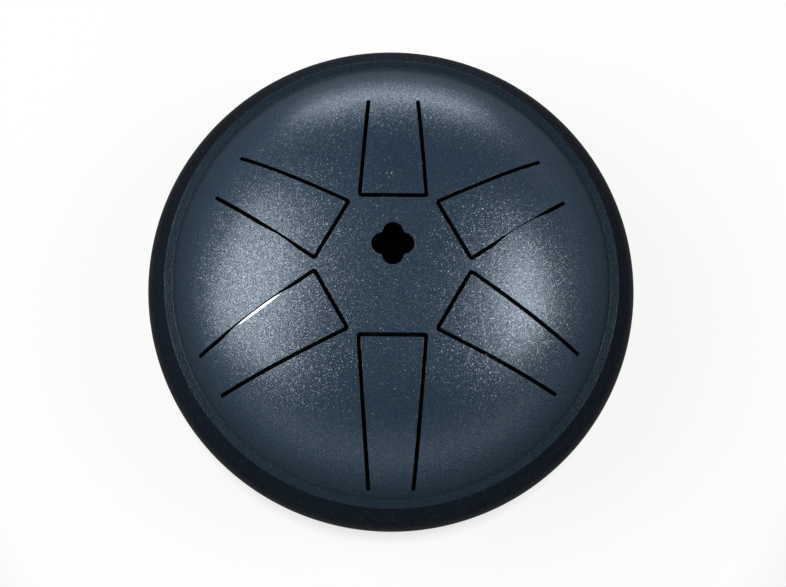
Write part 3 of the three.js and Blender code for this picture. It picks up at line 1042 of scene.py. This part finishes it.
# Camera
CAMERA_DISTANCE = 350
CAMERA_TILT = 9.641         # from straight down, towards the player
CAMERA_SIDE = 3.844         # to the player's left
CAMERA_ROLL = 0.291
CAMERA_TARGET = (0.342, -4.268, 54)
PHOTO_WIDTH = 786           # pixels
FOCAL_PIXELS = 1252
SENSOR = 36
CLIP_START = 10


def place_camera():
    tilt, side, roll = (math.radians(a) for a in (CAMERA_TILT, CAMERA_SIDE, CAMERA_ROLL))
    back = Vector((
        -math.sin(side) * math.sin(tilt),
        -math.cos(side) * math.sin(tilt),
        math.cos(tilt),
    ))
    right = (-back).cross(Vector((0, 1, 0))).normalized()
    up = right.cross(-back)
    turned_right = right * math.cos(roll) + up * math.sin(roll)
    turned_up = up * math.cos(roll) - right * math.sin(roll)
    data = bpy.data.cameras.new("camera")
    data.sensor_width = SENSOR
    data.lens = FOCAL_PIXELS * SENSOR / PHOTO_WIDTH
    data.clip_start = CLIP_START * MM
    camera = bpy.data.objects.new("camera", data)
    bpy.context.scene.collection.objects.link(camera)
    facing = Matrix((turned_right, turned_up, back)).transposed().to_4x4()
    place = (Vector(CAMERA_TARGET) + back * CAMERA_DISTANCE) * MM
    camera.matrix_world = Matrix.Translation(place) @ facing
    bpy.context.scene.camera = camera


# Studio. Of each lamp: its azimuth, elevation and turn, its distance, width and height in metres,
# and its radiance
LAMPS = [
    ("left_panel", 175, 44, -28, 1.0, 0.89, 0.73, 4.55),
    ("right_panel", 1.5, 48.5, 40, 1.0, 0.55, 0.42, 6.8),
    ("back_panel", 90, 4, 0, 0.9, 0.84, 0.19, 6.2),
    ("front_panel", -90, 26, 0, 1.0, 2.6, 0.42, 0.45),
]
FLOOR_HALF = 30000
LIGHT_POOL_MIDDLE = (0, 70)      # of the floor's painted pool of light, its white part, from above
LIGHT_POOL_SIZE = (150, 220)
LIGHT_POOL_FADE = 1.8            # as a share of its size, where the painted pool of light has turned grey
FAR_GREY = 0.4
GLOW_SHARE = 0.85           # of the floor's own white where it is seen
DARK_UNDER = (55, 75)       # radii between which the floor under the drum comes to glow
PAPER_WHITES = (0.93, 0.96)
PAPER_FIBRE = 3
PAPER_ROUGHNESS = 0.9
WORLD_LIGHT = 0.1
HAZE_LOW = 0.15             # heights of a direction between which the backdrop darkens
HAZE_HIGH = 0.45


def panel(name, azimuth, elevation, turn, distance, width, height, radiance):
    """A soft lamp panel that faces the drum, its width level until it is turned."""
    data = bpy.data.lights.new(name, "AREA")
    data.shape = "RECTANGLE"
    data.size = width
    data.size_y = height
    data.energy = radiance * math.pi * width * height
    lamp = bpy.data.objects.new(name, data)
    bpy.context.scene.collection.objects.link(lamp)
    around, up, spin = (math.radians(a) for a in (azimuth, elevation, turn))
    towards = Vector((
        math.cos(up) * math.cos(around),
        math.cos(up) * math.sin(around),
        math.sin(up),
    ))
    level = Vector((-math.sin(around), math.cos(around), 0))
    side = level * math.cos(spin) + towards.cross(level) * math.sin(spin)
    facing = Matrix((side, towards.cross(side), towards)).transposed().to_4x4()
    middle = Vector((0, 0, BELLY_Z * MM)) + towards * distance
    lamp.matrix_world = Matrix.Translation(middle) @ facing
    lamp.visible_camera = False


def grey(value):
    return (value, value, value, 1)


def seen_or_mirrored(tree):
    """1 for a ray that shows a surface to the camera, straight or in gloss or glass, and 0 for one
    that lights the scene."""
    path = tree.nodes.new("ShaderNodeLightPath")
    seen = path.outputs["Is Camera Ray"]
    for ray in ("Is Glossy Ray", "Is Transmission Ray"):
        either = tree.nodes.new("ShaderNodeMath")
        either.operation = "MAXIMUM"
        tree.links.new(seen, either.inputs[0])
        tree.links.new(path.outputs[ray], either.inputs[1])
        seen = either.outputs[0]
    return seen


def backdrop():
    """A dim plain world that is seen as the far floor's grey where it meets the floor."""
    world = bpy.data.worlds.new("studio")
    world.use_nodes = True
    tree = world.node_tree
    background = tree.nodes["Background"]
    background.inputs["Color"].default_value = grey(1)
    direction = tree.nodes.new("ShaderNodeTexCoord").outputs["Generated"]
    split = tree.nodes.new("ShaderNodeSeparateXYZ")
    tree.links.new(direction, split.inputs[0])
    falling = tree.nodes.new("ShaderNodeMapRange")
    for number, value in enumerate((HAZE_LOW, HAZE_HIGH, FAR_GREY - WORLD_LIGHT, 0), 1):
        falling.inputs[number].default_value = value
    tree.links.new(split.outputs["Z"], falling.inputs[0])
    shown = tree.nodes.new("ShaderNodeMath")
    shown.operation = "MULTIPLY_ADD"
    tree.links.new(seen_or_mirrored(tree), shown.inputs[0])
    tree.links.new(falling.outputs[0], shown.inputs[1])
    shown.inputs[2].default_value = WORLD_LIGHT
    tree.links.new(shown.outputs[0], background.inputs["Strength"])
    return world


def floor_material():
    """A floor with a painted pool of light, white near the drum and falling off to grey away from
    it, with a white of its own where it is seen or mirrored, under which the drum's shadow still
    shows."""
    paper = Surface("pale_floor")
    # Painted pool of light: white in an oval near the drum, grey beyond it
    reach = paper.oval(LIGHT_POOL_MIDDLE, LIGHT_POOL_SIZE, 0)
    pool_fade = paper.spread(reach, 1, LIGHT_POOL_FADE, 0, 1)
    far = grey(FAR_GREY)
    fibre = paper.mix(paper.noise(PAPER_FIBRE, detail=3), *map(grey, PAPER_WHITES))
    paper.link(paper.mix(pool_fade, fibre, far), paper.shader.inputs["Base Color"])
    paper.shader.inputs["Roughness"].default_value = PAPER_ROUGHNESS
    paper.shader.inputs["Specular IOR Level"].default_value = 0
    glow = paper.node("ShaderNodeEmission")
    clear = paper.spread(paper.radius(), *in_metres(DARK_UNDER), 0, 1)
    white = paper.mix(clear, grey(0), grey(1))
    paper.link(paper.mix(pool_fade, white, far), glow.inputs["Color"])
    share = paper.spread(pool_fade, 0, 1, GLOW_SHARE, 1)
    mixed = paper.node("ShaderNodeMixShader")
    shown = paper.math("MULTIPLY", seen_or_mirrored(paper.tree), share)
    paper.link(shown, mixed.inputs[0])
    paper.link(paper.shader.outputs[0], mixed.inputs[1])
    paper.link(glow.outputs[0], mixed.inputs[2])
    paper.link(mixed.outputs[0], paper.tree.nodes["Material Output"].inputs["Surface"])
    return paper.material


def studio():
    """A pale floor under a grey backdrop, with soft panels beside, behind and before the drum."""
    for lamp in LAMPS:
        panel(*lamp)
    floor_mesh = bpy.data.meshes.new("floor")
    half = FLOOR_HALF * MM
    corners = [(-half, -half, 0), (half, -half, 0), (half, half, 0), (-half, half, 0)]
    floor_mesh.from_pydata(corners, [], [(0, 1, 2, 3)])
    floor = bpy.data.objects.new("floor", floor_mesh)
    bpy.context.scene.collection.objects.link(floor)
    floor.data.materials.append(floor_material())
    bpy.context.scene.world = backdrop()


build_drum()
studio()
place_camera()
bpy.context.scene.view_settings.view_transform = "Standard"
